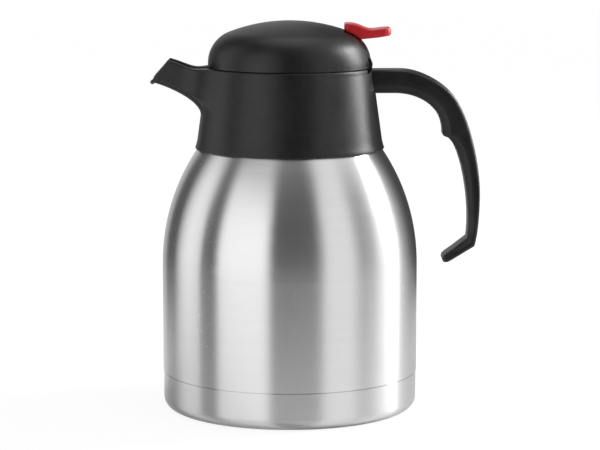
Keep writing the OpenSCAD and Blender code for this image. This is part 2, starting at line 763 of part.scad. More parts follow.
module valve_stem() color(steel) {
    translate([0, 0, disc_z + disc_t]) cylinder(h = washer_z - disc_z - disc_t, r = stem_r, $fn = 48);
    translate([0, 0, disc_z]) cylinder(h = disc_t + beyond, r = spigot_r, $fn = 48);
    difference() {
        translate([0, 0, washer_z - beyond]) cylinder(h = washer_t + beyond + 2.2, r = spigot_r, $fn = 48);
        // groove for the clip
        translate([0, 0, washer_z + washer_t]) difference() {
            cylinder(h = 0.8, r = spigot_r + beyond, $fn = 48);
            translate([0, 0, -beyond]) cylinder(h = 3, r = spigot_r - 0.4, $fn = 48);
        }
    }
}

module valve_disc() color(black) rotate_extrude($fn = 96) polygon([
    [spigot_r + fit, disc_z - 2.1], [port_r - 1.3, disc_z - 2.1], [port_r - 1.3, disc_z - 1.4],
    [port_r - 2.1, disc_z - 1.2], [port_r - 2.1, disc_z], [disc_r, disc_z], [disc_r, disc_z + disc_t - 0.6],
    [disc_r - 0.6, disc_z + disc_t], [guide_r, disc_z + disc_t], [guide_r, disc_z + disc_t + disc_hub_h],
    [stem_r + fit, disc_z + disc_t + disc_hub_h], [stem_r + fit, disc_z + disc_t],
    [spigot_r + fit, disc_z + disc_t]]);

module valve_seal() color(silicone) translate([0, 0, disc_z - valve_seal_t]) difference() {
    cylinder(h = valve_seal_t - fit, r = disc_r - 0.4, $fn = 96);
    translate([0, 0, -beyond]) cylinder(h = valve_seal_t + 2 * beyond, r = port_r - 2.05, $fn = 96);
}

module lift_washer() color(steel) translate([0, 0, washer_z]) difference() {
    cylinder(h = washer_t, r = washer_r, $fn = 48);
    translate([0, 0, -beyond]) cylinder(h = washer_t + 2 * beyond, r = spigot_r + fit, $fn = 48);
}

module stem_clip() color([0.4, 0.4, 0.42]) translate([0, 0, washer_z + washer_t]) difference() {
    cylinder(h = 0.7, r = spigot_r + 1.6, $fn = 48);
    translate([0, 0, -beyond]) cylinder(h = 3, r = spigot_r - 0.4 + fit, $fn = 48);
    translate([0, -spigot_r * 0.55, -beyond]) cube([5, spigot_r * 1.1, 3]);
}

// One tube, swept along the coil's centre line
module valve_spring() color(steel) {
    ring_points = [for (i = [0 : spring_steps]) for (s = [0 : spring_sides - 1])
        let (a = 360 * i / spring_rings, b = 360 * s / spring_sides)
        coil_point(i) + wire_r * (cos(b) * [cos(a), sin(a), 0] + sin(b) * [0, 0, 1])];
    sides = [for (i = [0 : spring_steps - 1]) for (s = [0 : spring_sides - 1])
        let (a = i * spring_sides + s, b = i * spring_sides + (s + 1) % spring_sides)
        each [[a, a + spring_sides, b + spring_sides], [a, b + spring_sides, b]]];
    last = spring_steps * spring_sides;
    ends = [for (s = [1 : spring_sides - 2]) each [[0, s, s + 1], [last, last + s + 1, last + s]]];
    polyhedron(points = ring_points, faces = concat(sides, ends));
}

// ---------- Assembly ----------

// Tips the lid and all it carries back about the hinge
module lid_turn() {
    translate([hinge_x, 0, hinge_z]) rotate([0, min(lid_angle, lid_open), 0])
        translate([-hinge_x, 0, -hinge_z]) children();
}

outer_shell();
inner_liner();
inner_bottom();
outer_bottom();
getter();
vacuum_plug();
base_cup();
clamp_ring();
neck_seal();
collar();
collar_screws();
pour_ring();
handle();
handle_screws();
hinge_pin();
lid_turn() lid_dome();
lid_turn() rear_cover();
lid_turn() lid_plug();
lid_turn() stopper_seal();
lid_turn() lid_screws();
lid_turn() lever_pin();
lid_turn() thumb_lever();
lid_turn() valve_stem();
lid_turn() valve_disc();
lid_turn() valve_seal();
lid_turn() lift_washer();
lid_turn() stem_clip();
lid_turn() valve_spring();
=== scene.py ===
import json
import math

import bmesh
import bpy
import numpy as np
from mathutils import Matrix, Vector


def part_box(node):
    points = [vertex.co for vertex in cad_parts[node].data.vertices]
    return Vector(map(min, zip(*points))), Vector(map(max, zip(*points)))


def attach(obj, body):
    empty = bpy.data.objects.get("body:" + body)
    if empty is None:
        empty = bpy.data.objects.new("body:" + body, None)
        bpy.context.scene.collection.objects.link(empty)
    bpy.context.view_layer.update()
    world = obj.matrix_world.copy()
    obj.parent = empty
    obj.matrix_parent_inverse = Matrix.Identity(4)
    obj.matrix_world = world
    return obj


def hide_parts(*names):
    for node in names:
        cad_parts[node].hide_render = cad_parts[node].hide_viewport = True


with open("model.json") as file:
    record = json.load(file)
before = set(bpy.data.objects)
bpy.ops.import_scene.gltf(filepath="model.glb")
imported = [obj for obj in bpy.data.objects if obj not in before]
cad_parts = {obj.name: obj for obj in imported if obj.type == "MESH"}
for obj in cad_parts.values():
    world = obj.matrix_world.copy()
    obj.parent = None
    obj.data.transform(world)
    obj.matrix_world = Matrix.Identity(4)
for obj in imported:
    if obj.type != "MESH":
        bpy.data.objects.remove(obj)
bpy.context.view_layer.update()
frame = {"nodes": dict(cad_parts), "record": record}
MM = 0.001


def node_box(name):
    """Lowest and highest corner of a CAD node, in millimetres."""
    low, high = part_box(name)
    return np.array(low) / MM, np.array(high) / MM


def joint_place(name):
    """Place of a joint's axis, in millimetres."""
    joints = frame["record"]["behaviour"]["joints"]
    return np.array(next(j["pos_m"] for j in joints if j["name"] == name)) / MM


# ---------- Sizes, in millimetres, taken from the frame ----------

collar_low = node_box("collar")[0]
dome_high = node_box("lid_dome")[1]
handle_low, handle_high = node_box("handle")
lever_low, lever_high = node_box("thumb_lever")
ring_low, ring_high = node_box("pour_ring")
shell_high = node_box("outer_shell")[1]
screws_low, screws_high = node_box("handle_screws")
hinge = joint_place("lid_hinge")
pivot = joint_place("lever_press")

# Collar: lower and upper edge, radius at the upper edge, radius gained per millimetre down, flared foot
FOOT_Z = collar_low[2]
RIM_Z = handle_high[2] + 1.1
TOP_R = hinge[0] + 4.4
TAPER = 0.14
FLARE = 0.75
FLARE_H = 6.0
WALL = 2.4
FOOT_WALL = 1.5

# Well for the stopper, shelf over the neck, screw holes in the collar and in the handle
WELL_R = TOP_R - 6.1
WELL_WALL = 1.5
SHELF_TOP = ring_low[2] + 11.6
SHELF_LOW = SHELF_TOP - 2.4
SCREW_R = 1.38
BORE_R = SCREW_R - 0.08

# Dome: a crown with a tighter curve down to its edge
DOME_Z = RIM_Z + 0.3
APEX_Z = dome_high[2]
DOME_R = TOP_R - 0.45
CORNER_R = 17.8
CORNER = (DOME_R - CORNER_R, DOME_Z + 2.2)
CROWN_K = APEX_Z - CORNER[1]
CROWN_R = (CORNER[0] ** 2 + CROWN_K ** 2 - CORNER_R ** 2) / (2 * (CROWN_K - CORNER_R))

# Spout and its channel, both as half widths, with the lip, the highest point and the root
SPOUT_W = 8.5
CHANNEL_W = 6.3
CHANNEL_FLOOR = RIM_Z - 14.7
TIP = (-TOP_R - 30.6, RIM_Z - 7.1)
BROW = (-TOP_R - 20.7, RIM_Z + 4.5)
SPOUT_ROOT = RIM_Z - 26

# Handle with its two screws beside the middle plane, and the lever's pad in front of its pivot
SCREW_SPREAD = 5.0
HANDLE_W = handle_high[1] - handle_low[1]
HANDLE_SCREW = (screws_low[0] + 1.5, SCREW_SPREAD, (screws_low[2] + screws_high[2]) / 2)
LEVER_W = lever_high[1] - lever_low[1]
PAD_FRONT = 6.9

# Hinge ear of the collar
EAR_HALF = 6.8
EAR_R = 3.9
EAR_BORE_R = 1.53

SMOOTH_ANGLE = 32
MERGE, SLIVER = 0.002, 0.001
HEAL_MERGE, HEAL_SLIVER = 0.01, 0.005


def collar_r(z):
    """Outside radius of the collar at height z."""
    flare = np.maximum(0, FLARE_H - (z - FOOT_Z)) / FLARE_H
    return TOP_R + TAPER * (RIM_Z - z) + FLARE * flare ** 2


SCREW_CIRCLE = (WELL_R + WELL_WALL + float(collar_r(SHELF_TOP)) - WALL) / 2


def dome_z(r):
    """Height of the dome's outer face at radius r."""
    r = np.minimum(r, DOME_R)
    tangent = CROWN_R * math.sin(math.atan2(CORNER[0], CORNER[1] - APEX_Z + CROWN_R))
    crown = APEX_Z - CROWN_R + np.sqrt(CROWN_R ** 2 - r ** 2)
    corner = CORNER[1] + np.sqrt(np.maximum(0, CORNER_R ** 2 - (r - CORNER[0]) ** 2))
    return np.where(r < tangent, crown, corner)


# ---------- Mesh tools ----------

def bezier(p, n):
    """n + 1 points along a cubic curve."""
    p = np.array(p, float)
    t = np.linspace(0, 1, n + 1)[:, None]
    s = 1 - t
    return s ** 3 * p[0] + 3 * s ** 2 * t * p[1] + 3 * s * t ** 2 * p[2] + t ** 3 * p[3]


def resample(points, n):
    """n points spaced evenly along a line."""
    points = np.array(points, float)
    way = np.concatenate([[0], np.cumsum(np.linalg.norm(np.diff(points, axis=0), axis=1))])
    at = np.linspace(0, way[-1], n)
    return np.stack([np.interp(at, way, points[:, k]) for k in range(points.shape[1])], axis=1)


def new_object(name, verts, faces):
    """Mesh object from points in millimetres, its doubled points merged and its faces turned outwards."""
    mesh = bpy.data.meshes.new(name)
    mesh.from_pydata((np.array(verts, float) * MM).tolist(), [], [tuple(map(int, f)) for f in faces])
    bm = bmesh.new()
    bm.from_mesh(mesh)
    bmesh.ops.remove_doubles(bm, verts=bm.verts, dist=MERGE * MM)
    bmesh.ops.dissolve_degenerate(bm, dist=SLIVER * MM, edges=bm.edges)
    bmesh.ops.recalc_face_normals(bm, faces=bm.faces)
    bm.to_mesh(mesh)
    bm.free()
    obj = bpy.data.objects.new(name, mesh)
    bpy.context.scene.collection.objects.link(obj)
    return obj


def skin(name, rings):
    """Closed tube through rings of equally many points, its ends closed with flat faces."""
    rings = np.array(rings, float)
    count, size = rings.shape[:2]
    faces = []
    for i in range(count - 1):
        for j in range(size):
            k = (j + 1) % size
            faces.append((i * size + j, i * size + k, (i + 1) * size + k, (i + 1) * size + j))
    faces.append(range(size - 1, -1, -1))
    faces.append(range((count - 1) * size, count * size))
    return new_object(name, rings.reshape(-1, 3), faces)


def lathe(name, outline, steps=96):
    """Solid of revolution about Z from points (radius, height), closed on the axis."""
    verts = []
    rings = len(outline)
    for r, z in outline:
        for i in range(steps):
            a = 2 * math.pi * i / steps
            verts.append((r * math.cos(a), r * math.sin(a), z))
    faces = [(i * steps + j, i * steps + (j + 1) % steps,
              (i + 1) * steps + (j + 1) % steps, (i + 1) * steps + j)
             for i in range(rings - 1) for j in range(steps)]
    faces.append(range(steps - 1, -1, -1))
    faces.append(range((rings - 1) * steps, rings * steps))
    return new_object(name, verts, faces)


def circle(centre, r, first, second, steps=24):
    """Points round a centre in the plane of two axes."""
    points = np.tile(np.array(centre, float), (steps, 1))
    turn = np.arange(steps) * 2 * math.pi / steps
    points[:, first] += r * np.cos(turn)
    points[:, second] += r * np.sin(turn)
    return points


def bar(name, x, z, r, half, steps=48):
    """Round bar along Y."""
    rings = [[(x + r * math.cos(a), y, z + r * math.sin(a)) for a in np.arange(steps) * 2 * math.pi / steps]
             for y in (-half, half)]
    return skin(name, rings)


def block(name, low, high):
    """Box between two corners."""
    rings = [[(low[0], low[1], z), (high[0], low[1], z), (high[0], high[1], z), (low[0], high[1], z)]
             for z in (low[2], high[2])]
    return skin(name, rings)


def plate(name, outline, half):
    """Outline drawn in X and Z, as a slab across Y."""
    return skin(name, [[(x, y, z) for x, z in outline] for y in (-half, half)])


def apply_modifiers(obj):
    """Writes an object's modifiers into its mesh."""
    graph = bpy.context.evaluated_depsgraph_get()
    mesh = bpy.data.meshes.new_from_object(obj.evaluated_get(graph))
    old = obj.data
    obj.modifiers.clear()
    obj.data = mesh
    bpy.data.meshes.remove(old)


def combine(obj, other, operation):
    """Adds another solid to obj, or cuts it away, and removes that solid."""
    modifier = obj.modifiers.new("combine", "BOOLEAN")
    modifier.operation = operation
    modifier.solver = "EXACT"
    modifier.object = other
    bpy.context.view_layer.update()
    apply_modifiers(obj)
    bpy.data.objects.remove(other)


def drill_handle_screws(obj, r, x_end):
    """Cuts the holes of the two handle screws out of obj, from inside the collar's wall to x_end."""
    for y in (-HANDLE_SCREW[1], HANDLE_SCREW[1]):
        rings = [circle((x, y, HANDLE_SCREW[2]), r, 1, 2) for x in (HANDLE_SCREW[0] - 1, x_end)]
        combine(obj, skin("hole", rings), "DIFFERENCE")


def round_edges(obj, width):
    """Small rounding along the sharp edges of a CAD mesh, kept as a modifier."""
    bevel = obj.modifiers.new("round_edges", "BEVEL")
    bevel.width = width * MM
    bevel.segments = 3
    bevel.limit_method = "ANGLE"
    bevel.angle_limit = math.radians(50)
    bevel.harden_normals = True


def heal(obj):
    """Merges the tiny edges that cutting leaves, and closes what they leave open."""
    bm = bmesh.new()
    bm.from_mesh(obj.data)
    bmesh.ops.remove_doubles(bm, verts=bm.verts, dist=HEAL_MERGE * MM)
    bmesh.ops.dissolve_degenerate(bm, dist=HEAL_SLIVER * MM, edges=bm.edges)
    bmesh.ops.delete(bm, geom=[e for e in bm.edges if e.is_wire], context="EDGES")
    bmesh.ops.holes_fill(bm, edges=[e for e in bm.edges if e.is_boundary], sides=12)
    bmesh.ops.recalc_face_normals(bm, faces=bm.faces)
    bm.to_mesh(obj.data)
    bm.free()


def smooth(obj, angle):
    """Healed mesh with smooth shading, and sharp edges above the given angle in degrees."""
    heal(obj)
    mesh = obj.data
    mesh.polygons.foreach_set("use_smooth", [True] * len(mesh.polygons))
    mesh.set_sharp_from_angle(angle=math.radians(angle))


# ---------- Collar with its spout ----------

UNDERSIDE = bezier([(-collar_r(SPOUT_ROOT), SPOUT_ROOT), (-TOP_R - 3.5, RIM_Z - 17.8),
                    (-TOP_R - 18.3, RIM_Z - 11.1), (-TOP_R - 28.6, RIM_Z - 8.2)], 80)
TOP_LINE = np.array([TIP, BROW, (-TOP_R - 16.7, RIM_Z + 3.2), (-TOP_R - 13.8, RIM_Z + 2.1),
                     (-TOP_R - 10.9, RIM_Z + 0.95), (-TOP_R - 8.6, RIM_Z + 0.15), (-TOP_R - 5.9, RIM_Z - 0.4),
                     (-TOP_R - 2.6, RIM_Z - 0.35), (-TOP_R + 0.5, RIM_Z)])
BLEND = 15.0        # rounding between the wall and the spout
NOSE = 4.5          # length of the spout's rounded nose
UNDER_R = 3.0       # rounding of the spout's underside
RIM_BEAD = 0.14     # raised line under the collar's upper edge
SPREAD = 0.17       # widening of the spout towards its root
FOOT_R = 0.8        # rounding of the collar's lower edge
FOOT_TURNS = (0, 22, 45, 67)
CAP_R = 30
STRAIGHT_H = 80.0   # height at which the steel body's shoulder begins


def top_z(x):
    """Height of the collar's and the spout's upper edge at x."""
    return np.interp(x, TOP_LINE[:, 0], TOP_LINE[:, 1])


def reach(z):
    """How far the spout stands out from the axis at height z, on the middle plane."""
    xs = np.append(-UNDERSIDE[:, 0], [-TIP[0], -TIP[0]])
    zs = np.append(UNDERSIDE[:, 1], [UNDERSIDE[-1, 1] + 0.57, RIM_Z + 30])
    return np.where(z < SPOUT_ROOT, collar_r(z), np.interp(z, zs, xs))


def smooth_min(a, b, k):
    """Lesser of two distances with a rounded change between them."""
    h = np.maximum(k - np.abs(a - b), 0) / k
    return np.minimum(a, b) - h * h * k / 4


def spout_half(x):
    """Half width of the spout at x, from its nose to its root."""
    return SPOUT_W + SPREAD * np.clip(x - TIP[0] - NOSE, 0, 34)


def collar_distance(x, y, z):
    """Signed distance in a level plane to the outline of the collar and the spout blended together."""
    side = np.abs(y)
    wide = spout_half(x)
    over = np.clip(side - (wide - UNDER_R), 0, UNDER_R)
    lift = UNDER_R - np.sqrt(np.maximum(UNDER_R ** 2 - over ** 2, 0))
    level = z - lift
    gap = np.maximum(reach(level) - collar_r(level), 0)
    root = collar_r(level) + np.where(gap < BLEND, 2 * np.sqrt(BLEND * gap) - BLEND, gap)
    nose = NOSE * (1 - np.sqrt(np.maximum(1 - (np.minimum(side, SPOUT_W) / SPOUT_W) ** 2, 0)))
    extent = smooth_min(root, -TIP[0] - nose, 1.0)
    qx = (side - wide) / math.hypot(1, SPREAD)
    qy = np.maximum(-x - extent, x)
    box = np.hypot(np.maximum(qx, 0), np.maximum(qy, 0)) + np.minimum(np.maximum(qx, qy), 0)
    return smooth_min(np.hypot(x, y) - collar_r(z), box, BLEND)


def collar_radius(angle, z):
    """Radius of the outer face along the given angles from the spout, by halving."""
    low = np.full(np.broadcast(angle, z).shape, TOP_R * 0.7)
    high = np.full_like(low, -TIP[0] + 20)
    for _ in range(34):
        mid = (low + high) / 2
        inside = collar_distance(-mid * np.cos(angle), mid * np.sin(angle), z) < 0
        low = np.where(inside, mid, low)
        high = np.where(inside, high, mid)
    return (low + high) / 2


def collar_columns():
    """Angles from the spout's middle plane at which the collar's face has a column of points."""
    turn = np.radians(np.arange(0, 90, 7.5))
    nose = np.arctan2(SPOUT_W * np.sin(turn), -TIP[0] - NOSE + NOSE * np.cos(turn))
    along = np.arange(-TIP[0] - NOSE, TOP_R + 0.5, -1.1)
    side = np.arctan2(spout_half(-along), along)
    blend = np.radians(np.linspace(math.degrees(side[-1]) + 0.45, 36, 26))
    rest = np.radians(np.linspace(38.5, 180, 54))
    half = np.concatenate([nose, side, blend, rest])
    return np.concatenate([half, 2 * math.pi - half[-2:0:-1]])


def collar_outside():
    """Solid inside the collar's and the spout's outer face, up to their upper edge."""
    angles = collar_columns()
    levels = np.linspace(FOOT_Z, BROW[1] + 1.5, 700)
    radius = collar_radius(angles[:, None], levels[None, :])
    columns = []
    for angle, r in zip(angles, radius):
        turned = abs((math.degrees(angle) + 180) % 360 - 180)
        round_r = float(np.interp(turned, [14, 28], [1.3, 1.2]))
        x = -r * math.cos(angle)
        above = np.nonzero((levels >= top_z(x)) & (levels > SPOUT_ROOT))[0][0]
        share = np.interp(0, [levels[k] - top_z(x[k]) for k in (above - 1, above)], [0, 1])
        end = levels[above - 1] + share * (levels[above] - levels[above - 1])
        line = np.stack([r, levels], axis=1)
        start_z = FOOT_Z + FOOT_R
        bend_z = SPOUT_ROOT - 1.5
        stop_z = end - round_r
        low_part = np.array([(float(np.interp(z, levels, r)), z) for z in np.linspace(start_z, bend_z, 12)])
        keep = (levels > bend_z) & (levels < stop_z)
        high_part = np.vstack([low_part[-1:], line[keep], [(np.interp(stop_z, levels, r), stop_z)]])
        high_part = resample(high_part, 58)[1:]
        if turned > 26:
            high_part[:, 0] += RIM_BEAD * np.exp(-((high_part[:, 1] - stop_z + 0.2) / 0.8) ** 2)
        foot = [(low_part[0][0] - (FOOT_R - FOOT_R * math.sin(a)), FOOT_Z + FOOT_R - FOOT_R * math.cos(a))
                for a in map(math.radians, FOOT_TURNS)]
        column = [(-q * math.cos(angle), q * math.sin(angle), z)
                  for q, z in [*foot, *map(tuple, low_part), *map(tuple, high_part)]]
        x0, y0, z0 = column[-1]
        step = 0.05
        nx = collar_distance(x0 + step, y0, z0) - collar_distance(x0 - step, y0, z0)
        ny = collar_distance(x0, y0 + step, z0) - collar_distance(x0, y0 - step, z0)
        size = math.hypot(nx, ny)
        x_end, y_end = x0 - nx / size * round_r, y0 - ny / size * round_r
        z_end = float(top_z(x_end))
        for a in (18, 36, 54, 72, 90):
            c, s = math.cos(math.radians(a)), math.sin(math.radians(a))
            column.append((x0 - nx / size * round_r * (1 - c), y0 - ny / size * round_r * (1 - c),
                           z0 + (z_end - z0) * s))
        if turned < 20:
            column.append((x_end, 0.55 * y_end, z_end))
        else:
            column.append((0.85 * x_end, 0.85 * y_end, z_end))
        column.append((-CAP_R * math.cos(angle), CAP_R * math.sin(angle), RIM_Z))
        columns.append(column)
    columns = np.array(columns)
    count, rows = columns.shape[:2]
    verts = columns.reshape(-1, 3).tolist() + [(0, 0, FOOT_Z), (0, 0, RIM_Z)]
    faces = []
    for i in range(count):
        k = (i + 1) % count
        for j in range(rows - 1):
            faces.append((i * rows + j, k * rows + j, k * rows + j + 1, i * rows + j + 1))
        faces.append((count * rows, k * rows, i * rows))
        faces.append((i * rows + rows - 1, k * rows + rows - 1, count * rows + 1))
    return new_object("collar_skin", verts, faces)


def shoulder_r(z):
    """Outside radius of the steel shoulder at height z."""
    body = shell_high[0]
    inset = body - (float(collar_r(FOOT_Z)) - FOOT_WALL)
    rise = FOOT_Z - STRAIGHT_H
    arc = (inset ** 2 + rise ** 2) / (2 * inset)
    return body - arc + math.sqrt(max(arc ** 2 - (z - STRAIGHT_H) ** 2, 0))


def collar_hollow():
    """Space inside the collar: the open foot, the shelf's bore and the room above the shelf."""
    line = [(collar_r(FOOT_Z) - FOOT_WALL, FOOT_Z - 2)]
    low = [(max(float(collar_r(z)) - WALL, shoulder_r(z) + 0.2), z)
           for z in np.linspace(FOOT_Z, SHELF_LOW, 14)]
    high = [(float(collar_r(z)) - WALL, z) for z in np.linspace(SHELF_TOP, RIM_Z + 8, 8)]
    bore = WELL_R - 2.4
    return lathe("hollow", line + low + [(bore, SHELF_LOW), (bore, SHELF_TOP)] + high, 120)


def channel_cutter():
    """Space that the drink runs through, with a rounded floor and rounded upper edges."""
    slope = (TIP[1] + 0.1 - CHANNEL_FLOOR) / (TIP[0] + WELL_R + 1)
    corner = 2.6
    lip = 0.9
    flare = [(lip * (1 - math.cos(a)), lip * (math.sin(a) - 1)) for a in np.radians(np.arange(0, 76, 15))]
    wide = lip * (1 - math.cos(math.radians(75)))
    rings = []
    for x in np.linspace(-WELL_R + 2.5, TIP[0] - 8, 44):
        floor = CHANNEL_FLOOR + slope * (x + WELL_R + 1)
        top = max(float(top_z(x)), floor + corner + lip + 0.3)
        half = [(CHANNEL_W + wide, RIM_Z + 20)]
        half += [(CHANNEL_W + out, top + up) for out, up in reversed(flare)]
        half += [(CHANNEL_W - corner + corner * math.cos(a), floor + corner - corner * math.sin(a))
                 for a in np.radians(np.arange(0, 91, 15))]
        rings.append([(x, y, z) for y, z in half] + [(x, -y, z) for y, z in reversed(half)])
    return skin("channel", rings)


def drip_edge():
    """Small bead under the spout's lip, round its nose."""
    rings = []
    for t in np.radians(np.linspace(-46, 46, 25)):
        fade = math.cos(t * 1.35)
        r = 0.55 + 0.7 * fade
        recess = NOSE * (1 - math.cos(t))
        centre = np.array([TIP[0] + 0.75 + recess, SPOUT_W * math.sin(t), TIP[1] - 1.1 + 0.75 * recess])
        normal = np.array([-math.cos(t) * SPOUT_W, math.sin(t) * NOSE, 0])
        normal /= np.linalg.norm(normal)
        rings.append([centre + r * (math.cos(a) * normal + math.sin(a) * np.array([0, 0, 1.0]))
                      for a in np.radians(np.arange(0, 360, 24))])
    return skin("drip", rings)


def make_collar():
    """Collar with its blended spout, channel, hinge ear, shelf and screw holes."""
    obj = collar_outside()
    combine(obj, drip_edge(), "UNION")
    combine(obj, collar_hollow(), "DIFFERENCE")
    half = CHANNEL_W + 4
    bridge = block("bridge", (-collar_r(RIM_Z - 10) + 1, -half, SHELF_TOP - 1.2),
                   (-WELL_R - 1.7, half, ring_high[2] - 1.6))
    combine(obj, bridge, "UNION")
    combine(obj, channel_cutter(), "DIFFERENCE")
    combine(obj, bar("pocket", hinge[0], hinge[2], 5.0, 17.0), "DIFFERENCE")
    ear_line = [(TOP_R - 3.7, RIM_Z - 5.5), (TOP_R - 1.0, RIM_Z - 5.5), (TOP_R - 0.7, RIM_Z - 0.4)]
    ear_line += [(hinge[0] + EAR_R * math.cos(a), hinge[2] + EAR_R * math.sin(a))
                 for a in np.radians(np.arange(0, 181, 12))]
    ear_line += [(TOP_R - 3.7, hinge[2] - 1)]
    combine(obj, plate("ear", ear_line, EAR_HALF), "UNION")
    combine(obj, bar("ear_bore", hinge[0], hinge[2], EAR_BORE_R, EAR_HALF + 1), "DIFFERENCE")
    for a in np.radians((45, 135, 225, 315)):
        x, y = SCREW_CIRCLE * math.cos(a), SCREW_CIRCLE * math.sin(a)
        rings = [circle((x, y, z), SCREW_R, 0, 1) for z in (SHELF_LOW - 1, SHELF_TOP + 1)]
        combine(obj, skin("hole", rings), "DIFFERENCE")
    drill_handle_screws(obj, SCREW_R, HANDLE_SCREW[0] + 7)
    obj.name = "collar_body"
    smooth(obj, SMOOTH_ANGLE)
    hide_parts("collar")
    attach(obj, "carafe")
    return obj


# ---------- Handle ----------

def rounded_section(outer, inner, half, outer_r, inner_r, bevel_h=4.6, bevel_in=0.8):
    """Ring across the handle between its outer and its inner line, bevelled along the inner."""
    outer, inner = np.array(outer, float), np.array(inner, float)
    height = np.linalg.norm(outer - inner)
    up = (outer - inner) / height
    middle = (outer + inner) / 2
    outer_r = min(outer_r, 0.3 * height)
    inner_r = min(inner_r, 0.3 * height)
    bevel_h = min(bevel_h, 0.8 * height - outer_r)
    side = [(half - outer_r + outer_r * math.sin(a), height / 2 - outer_r + outer_r * math.cos(a))
            for a in np.radians(np.arange(0, 91, 15))]
    side += [(half - bevel_in * t, -height / 2 + bevel_h + (inner_r - bevel_h) * t)
             for t in (0, 0.12, 0.3, 0.5, 0.75)]
    side += [(half - bevel_in - inner_r + inner_r * math.cos(a),
              -height / 2 + inner_r - inner_r * math.sin(a))
             for a in np.radians(np.arange(0, 91, 15))]
    ring = side + [(-y, u) for y, u in reversed(side)]
    return [(middle[0] + up[0] * u, y, middle[1] + up[1] * u) for y, u in ring]


def handle_lines():
    """Matching points along the handle's outer and inner lines, from the root to the hook's end."""
    top, low = handle_high[2], handle_high[2] - 12.6
    gx = handle_high[0]
    base = handle_low[2]
    outer_a = bezier([(TOP_R + 15.5, top), (TOP_R + 26.6, top), (gx - 16.5, top - 8.5),
                      (gx - 11.6, top - 19)], 60)
    outer_b = bezier([(gx - 11.6, top - 19), (gx - 5, top - 30.4), (gx, top - 53), (gx, top - 68.4)], 80)
    outer_c = bezier([(gx, top - 68.4), (gx, top - 77), (gx - 0.4, base + 18), (gx - 2.5, base + 9.6)], 40)
    inner_a = bezier([(TOP_R + 12.2, low), (TOP_R + 26.4, low), (gx - 20.7, low - 8.3),
                      (gx - 20.7, low - 22.0)], 60)
    inner_b = bezier([(gx - 17.4, low - 24.5), (gx - 10.6, low - 30.7), (gx - 6.4, base + 38.4),
                      (gx - 6.4, base + 24)], 60)
    inner_c = bezier([(gx - 6.4, base + 24), (gx - 6.4, base + 20.3), (gx - 6.4, base + 16.6),
                      (gx - 7.0, base + 13.2)], 20)
    outer_one = np.vstack([outer_a, outer_b[1:27]])
    outer_two = outer_b[29:]
    rest = bezier([(gx - 20.7, low - 22.0), (gx - 20.75, low - 23.7), (gx - 19.6, low - 23.3),
                   (gx - 17.4, low - 24.5)], 10)
    pairs = [([(TOP_R - 2, top)], [(TOP_R - 2, low)]),
             (resample([(TOP_R + 1, top), (TOP_R + 15.5, top)], 8),
              resample([(TOP_R + 1, low), (TOP_R + 12.2, low)], 8)),
             (resample(outer_one, 40), resample(inner_a, 40)),
             (resample(outer_b[26:30], 10), resample(rest, 10)),
             (resample(outer_two, 30), resample(inner_b, 30)),
             (resample(outer_c, 16), resample(inner_c, 16)),
             (resample([(gx - 2.5, base + 9.6), (gx - 2.9, base + 8.7), (gx - 6.4, base + 6.6)], 6),
              resample([(gx - 7.0, base + 13.2), (gx - 10.8, base + 10.3)], 6)),
             (resample([(gx - 6.4, base + 6.6), (gx - 11, base + 3.8), (gx - 15.6, base + 1.0)], 12),
              resample([(gx - 10.8, base + 10.3), (gx - 14.5, base + 7.4), (gx - 18.2, base + 4.8)], 12)),
             (resample([(gx - 15.6, base + 1.0), (gx - 17.5, base + 0.05), (gx - 19.2, base + 0.2)], 6),
              resample([(gx - 18.2, base + 4.8), (gx - 19.9, base + 3.3), (gx - 20.4, base + 1.7)], 6))]
    outer = np.vstack([np.array(p[0], float)[(1 if i > 1 else 0):] for i, p in enumerate(pairs)])
    inner = np.vstack([np.array(p[1], float)[(1 if i > 1 else 0):] for i, p in enumerate(pairs)])
    return outer, inner


def make_handle():
    """Hooked handle with rounded edges, its root cut to the collar's face. Glossy rays don't see it."""
    outer, inner = handle_lines()
    half = HANDLE_W / 2
    rings = [rounded_section(o, i, half, 2.1, 1.5) for o, i in zip(outer, inner)]
    end_o, end_i = outer[-1], inner[-1]
    away = end_i - inner[-3]
    away = away / np.linalg.norm(away)
    middle = (end_o + end_i) / 2
    last_o, last_i = [middle + 0.6 * (end - middle) + 0.35 * away for end in (end_o, end_i)]
    rings.append(rounded_section(last_o, last_i, half - 1.0, 0.8, 0.8, 1.2, 0.1))
    obj = skin("handle_body", rings)
    cone = lathe("cone", [(float(collar_r(z)) + 0.02, z) for z in np.linspace(RIM_Z - 40, RIM_Z + 5, 4)], 160)
    combine(obj, cone, "DIFFERENCE")
    drill_handle_screws(obj, BORE_R, screws_high[0] + 0.1)
    smooth(obj, SMOOTH_ANGLE)
    obj.visible_glossy = False
    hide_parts("handle")
    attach(obj, "carafe")
    return obj


# ---------- Thumb lever ----------

def lever_lines():
    """Top and bottom height of the lever's pad along X."""
    px, pz = pivot[0], pivot[2]
    fall = bezier([(px - 4, pz + 11.3), (px + 1.5, pz + 11), (px + 4, pz + 8.2), (px + 7.5, pz + 8.1)], 24)
    seat = bezier([(px + 7.5, pz + 8.1), (px + 11, pz + 8.1), (px + 13, pz + 8.9), (px + 16.8, pz + 8.9)], 16)
    top = np.vstack([[(px - PAD_FRONT, pz + 11.3), (px - 4, pz + 11.3)], fall, seat, [(px + 18.5, pz + 8.8)]])
    bottom = np.array([(px - PAD_FRONT, pz + 2.7), (px + 2.2, pz + 2.9), (px + 10.8, pz + 3.75),
                       (px + 17.3, pz + 4.8), (px + 18.5, pz + 5.2)])
    return top, bottom


def lever_pad_x():
    """Front and rear end of the lever's pad."""
    return pivot[0] - PAD_FRONT, lever_high[0]


